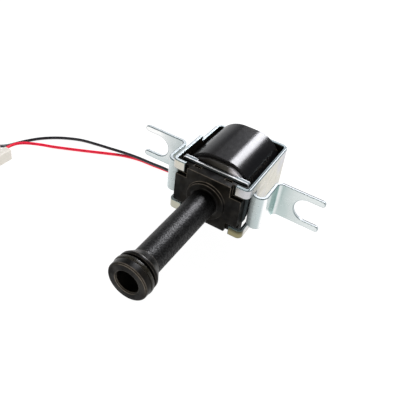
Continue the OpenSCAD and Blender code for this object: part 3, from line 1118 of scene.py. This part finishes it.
@dataclass
class MouldedSnout:
    """The moulded snout and the seal ring at its tip."""

    bench: Bench
    edge: Rounding = Rounding(0.16, 24.0)

    def build(self) -> None:
        """Builds the snout and its ring."""
        self.bench.softened("snout_body", "moulded_snout", Slot.SNOUT, self.edge)
        self.bench.place(self.bench.merged("seal_ring"), "seal_ring", "tip_seal", Slot.SEAL)


@dataclass
class CoilUnit:
    """The bobbin, its winding and the tape."""

    bench: Bench
    edge: Rounding = Rounding(0.16, 40.0, 3)

    def build(self) -> None:
        """Builds the tape and the bobbin, and dresses the winding."""
        self.bench.softened("coil_wrap", "tape_wrap", Slot.TAPE, self.edge)
        self.bench.softened("bobbin", "coil_bobbin", Slot.BOBBIN, self.edge)
        self.bench.finishes.dress(frame["nodes"]["coil_winding"], Slot.COPPER)


@dataclass
class ValveWorks:
    """The core, the seat, the sleeve, the plunger with its seal, the spring and the splices."""

    bench: Bench
    edge: Rounding = Rounding(0.1, 40.0)
    stroke: float = 1.2 * MM

    def build(self) -> None:
        """Softens the turned pieces, builds the spring and dresses the splices."""
        for node, name, slot, body in (
            ("core", "staked_core", Slot.CORE, Body.SOLENOID),
            ("valve_seat", "seat_insert", Slot.BRASS, Body.SOLENOID),
            ("guide_sleeve", "brass_guide", Slot.BRASS, Body.SOLENOID),
            ("plunger", "fluted_plunger", Slot.CORE, Body.ARMATURE),
            ("valve_seal", "seal_disc", Slot.SEAL, Body.ARMATURE),
        ):
            self.bench.softened(node, name, slot, self.edge, body)
        self.spring()
        for node in ("red_splice", "black_splice"):
            self.bench.finishes.dress(frame["nodes"][node], Slot.BRASS)

    def spring(self) -> None:
        """Builds the return spring, on a mesh of its own."""
        mesh = self.bench.merged("return_spring")
        piece = self.bench.place(mesh, "return_spring", "plunger_spring", Slot.SPRING)
        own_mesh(piece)


@dataclass
class LeadSet:
    """The two leads and the connector on their ends. Stations are in millimetres."""

    bench: Bench
    tape_line: float = -12.05
    lying: float = -12.3
    way: float = -10.5
    red_way: float = -77.0
    black_way: float = -80.6
    mouth: float = -10.6
    end: float = -12.6
    red_out: float = 18.5
    black_out: float = 17.15
    diameter: float = 1.1
    red_length: float = 89.6
    black_length: float = 95.4
    steps: int = 8
    roundness: int = 4
    housing_edge: Rounding = Rounding(0.15)
    contact_edge: Rounding = Rounding(0.05, 40.0, 1)

    def rise(self, share: float) -> float:
        """Height of a lead on its way up to the connector."""
        return self.lying + share * (self.way - self.lying)

    def red_route(self) -> list[Point]:
        """Points of the red lead.

        Returns:
            The points, measured from the frame's front.
        """
        low = self.lying
        return [
            (-1.0, self.red_out, self.tape_line), (-6.0, self.red_out, self.tape_line),
            (-12.0, 18.5, low), (-19.0, 18.4, low), (-26.0, 17.9, low), (-32.0, 17.3, low),
            (-38.0, 16.8, low), (-44.0, 15.1, low), (-50.0, 12.1, low), (-56.0, 8.9, low),
            (-62.0, 5.8, low), (-67.0, 3.2, self.rise(0.05)), (-71.0, 0.8, self.rise(0.33)),
            (-74.3, -2.1, self.rise(0.72)), (-76.2, -4.6, self.rise(0.94)),
            (self.red_way, -7.2, self.way), (self.red_way, self.mouth, self.way),
            (self.red_way, self.end, self.way),
        ]

    def black_route(self) -> list[Point]:
        """Points of the black lead, which crosses over the red one.

        Returns:
            The points, measured from the frame's front.
        """
        low = self.lying
        return [
            (-1.0, self.black_out, self.tape_line), (-6.0, self.black_out, self.tape_line),
            (-12.0, 17.2, low), (-19.0, 17.2, self.rise(0.3)), (-26.0, 17.2, self.rise(0.58)),
            (-32.0, 16.7, self.rise(0.61)), (-38.0, 16.3, self.rise(0.66)),
            (-44.0, 15.4, self.rise(0.7)), (-50.0, 15.1, self.rise(0.3)), (-56.0, 14.6, low),
            (-62.0, 13.1, low), (-67.0, 10.6, low), (-71.0, 7.7, low), (-74.5, 4.0, low),
            (-77.0, 0.0, low), (-78.5, -3.2, low), (-79.6, -5.8, low),
            (-80.3, -8.2, self.rise(0.35)), (self.black_way, self.mouth, self.way),
            (self.black_way, self.end, self.way),
        ]

    def smooth(self, route: Sequence[Point]) -> list[Vector]:
        """Rounds a route into a smooth line through its points, a Catmull-Rom spline.

        Args:
            route: Points measured from the frame's front, in millimetres.

        Returns:
            The line's points, in metres.
        """
        knots = [Vector((x, y + FRAME_FRONT, z)) * MM for x, y, z in route]
        padded = [knots[0], *knots, knots[-1]]
        line: list[Vector] = []
        for a, b, c, d in zip(padded, padded[1:], padded[2:], padded[3:]):
            for step in range(self.steps):
                t = step / self.steps
                line.append(
                    0.5 * (2 * b + (c - a) * t + (2 * a - 5 * b + 4 * c - d) * t * t
                           + (3 * b - a - 3 * c + d) * t * t * t)
                )
        return [*line, knots[-1]]

    def lead(self, name: str, route: Sequence[Point], node: str, slot: Slot) -> Piece:
        """Builds one lead as a round curve.

        Args:
            name: The piece's name.
            route: Its route.
            node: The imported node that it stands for.
            slot: Its finish.

        Returns:
            The lead.
        """
        line = self.smooth(route)
        curve = bpy.data.curves.new(name, "CURVE")
        curve.dimensions = "3D"
        curve.bevel_depth = 1.0
        curve.bevel_resolution = self.roundness
        curve.use_fill_caps = True
        spline = curve.splines.new("POLY")
        spline.points.add(len(line) - 1)
        for point, place in zip(spline.points, line):
            point.co = (*place, 1.0)
            point.radius = self.diameter / 2 * MM
        spline.use_smooth = True
        piece = bpy.data.objects.new(name, curve)
        bpy.context.scene.collection.objects.link(piece)
        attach(piece, Body.SOLENOID.value)
        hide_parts(node)
        log.info("%s: %d points", name, len(line))
        self.bench.finishes.dress(piece, slot)
        return piece

    def build(self) -> None:
        housing = self.bench.softened(
            "connector_housing", "plug_housing", Slot.NYLON, self.housing_edge
        )
        red = self.lead("lead_red", self.red_route(), "red_lead", Slot.RED)
        black = self.lead("lead_black", self.black_route(), "black_lead", Slot.BLACK)
        red_contact, black_contact = (
            self.bench.softened(node, name, Slot.BRASS, self.contact_edge)
            for node, name in (("red_terminal", "contact_red"), ("black_terminal", "contact_black"))
        )
        for piece, route, length, others in (
            (red, self.red_route(), self.red_length, [housing, red_contact]),
            (black, self.black_route(), self.black_length, [black_contact]),
        ):
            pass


@dataclass(frozen=True)
class SoftBox:
    """A soft box that faces the coil: its place in degrees and millimetres, and its light."""

    name: str
    bearing: float
    height: float
    reach: float
    size: tuple[float, float]
    glow: float
    tone: Colour
    aim: float = FRAME_FRONT + 8.0

    def outward(self) -> Vector:
        """Gives the direction from the coil to the box.

        Returns:
            The direction, by its bearing from +Y towards +X and its height above the floor.
        """
        turn, lift = math.radians(self.bearing), math.radians(self.height)
        flat = math.cos(lift)
        return Vector((math.sin(turn) * flat, math.cos(turn) * flat, math.sin(lift)))

    def hang(self) -> None:
        """Hangs the box in the scene."""
        out = self.outward()
        data = bpy.data.lights.new(self.name, "AREA")
        data.shape = "RECTANGLE"
        data.size, data.size_y = (side * MM for side in self.size)
        data.energy = self.glow * math.pi * data.size * data.size_y
        data.color = self.tone
        box = bpy.data.objects.new(self.name, data)
        box.visible_camera = False
        box.location = (out * self.reach + Vector((0.0, self.aim, 0.0))) * MM
        box.rotation_mode = "QUATERNION"
        box.rotation_quaternion = (-out).to_track_quat("-Z", "Y")
        bpy.context.scene.collection.objects.link(box)


@dataclass(frozen=True)
class Studio:
    """Camera, floor and lights. Places are in millimetres."""

    azimuth: float = math.radians(22.36)
    elevation: float = math.radians(36.19)
    roll: float = math.radians(10.07)
    distance: float = 160.01
    aside: float = 7.68
    above: float = 11.69
    lens: float = 44.08
    sensor: float = 36.0
    shift: tuple[float, float] = (-0.0547, -0.1099)
    clip: Span = Span(0.01, 20.0)
    floor: float = -12.96
    floor_half: float = 3.0
    floor_cloud: Noise = Noise(3.0, 1.0)
    floor_dark: Colour = (0.1, 0.1, 0.1)
    floor_light: Colour = (0.12, 0.12, 0.12)
    floor_rough: float = 0.9
    floor_glow: float = 0.98
    back_box: SoftBox = SoftBox(
        "back_box", 1.0, 42.0, 350.0, (125.0, 150.0), 32.0, (0.95, 0.95, 1.0)
    )
    front_box: SoftBox = SoftBox(
        "front_box", 190.0, 8.0, 420.0, (260.0, 70.0), 8.0, (1.0, 0.93, 0.85)
    )
    sky_tone: Colour = (0.97, 0.985, 1.0)
    sky_height: Span = Span(0.18, 0.52)
    sky_glow: Span = Span(1.0, 0.1)
    dim_corner: Span = Span(0.1, 0.4)
    dim_share: Span = Span(1.0, 0.2)
    halo: Span = Span(0.965, 0.995)
    halo_glow: Span = Span(0.0, 4.0)

    def build(self) -> None:
        """Builds the whole set."""
        self.camera()
        self.ground()
        self.lights()

    def camera(self) -> None:
        """Sets the camera where the photograph was taken."""
        az, el = self.azimuth, self.elevation
        flat = math.cos(el)
        back = Vector((math.sin(az) * flat, -math.cos(az) * flat, math.sin(el)))
        level = Vector((math.cos(az), math.sin(az), 0.0))
        rise = back.cross(level)
        right = math.cos(self.roll) * level + math.sin(self.roll) * rise
        up = -math.sin(self.roll) * level + math.cos(self.roll) * rise
        spot = back * self.distance + right * self.aside + up * self.above
        spot += Vector((0.0, FRAME_FRONT, 0.0))
        data = bpy.data.cameras.new("camera")
        data.lens = self.lens
        data.sensor_width = self.sensor
        data.shift_x, data.shift_y = self.shift
        data.clip_start, data.clip_end = self.clip
        view = bpy.data.objects.new("camera", data)
        turn = Matrix((right, up, back)).transposed().to_4x4()
        view.matrix_world = Matrix.Translation(spot * MM) @ turn
        bpy.context.scene.collection.objects.link(view)
        bpy.context.scene.camera = view

    def ground(self) -> None:
        """Lays a wide white floor under the part."""
        mesh = bmesh.new()
        bmesh.ops.create_grid(mesh, x_segments=2, y_segments=2, size=self.floor_half)
        bmesh.ops.translate(mesh, verts=mesh.verts[:], vec=(0.0, 0.0, self.floor * MM))
        data = bpy.data.meshes.new("floor")
        mesh.to_mesh(data)
        mesh.free()
        made = Shader("white_floor")
        made.set(
            Base_Color=made.mix(made.noise(self.floor_cloud), self.floor_dark, self.floor_light),
            Roughness=self.floor_rough,
            Specular_IOR_Level=0.0,
            Emission_Color=(1.0, 1.0, 1.0, 1.0),
            Emission_Strength=self.floor_glow,
        )
        data.materials.append(made.material)
        floor = bpy.data.objects.new("floor", data)
        bpy.context.scene.collection.objects.link(floor)

    def lights(self) -> None:
        """Sets the soft boxes and the pale surroundings, which are dim at the back right."""
        world = bpy.data.worlds.new("surroundings")
        world.use_nodes = True
        made = Nodes(world.node_tree, "Generated")
        corner = made.times(
            made.rise(made.aside, self.dim_corner), made.rise(made.along, self.dim_corner)
        )
        sky = made.times(
            made.rise(made.height, self.sky_height, self.sky_glow),
            made.rise(corner, UNIT, self.dim_share),
        )
        halo = made.rise(made.lean(self.back_box.outward()), self.halo, self.halo_glow)
        back = world.node_tree.nodes["Background"]
        back.inputs["Color"].default_value = (*self.sky_tone, 1.0)
        made.join(made.sums(Sum.ADD, sky, halo), back.inputs["Strength"])
        bpy.context.scene.world = world
        self.back_box.hang()
        self.front_box.hang()
        bpy.context.scene.view_settings.view_transform = "Standard"


def main() -> None:
    """Builds the set and every sub-assembly in order."""
    logging.basicConfig(level=logging.INFO, format="%(name)s: %(message)s")
    Studio().build()
    bench = Bench(Finishes())
    for assembly in (LeadSet, PressedFrame, MouldedSnout, CoilUnit, ValveWorks):
        assembly(bench).build()


if __name__ == "__main__":
    main()
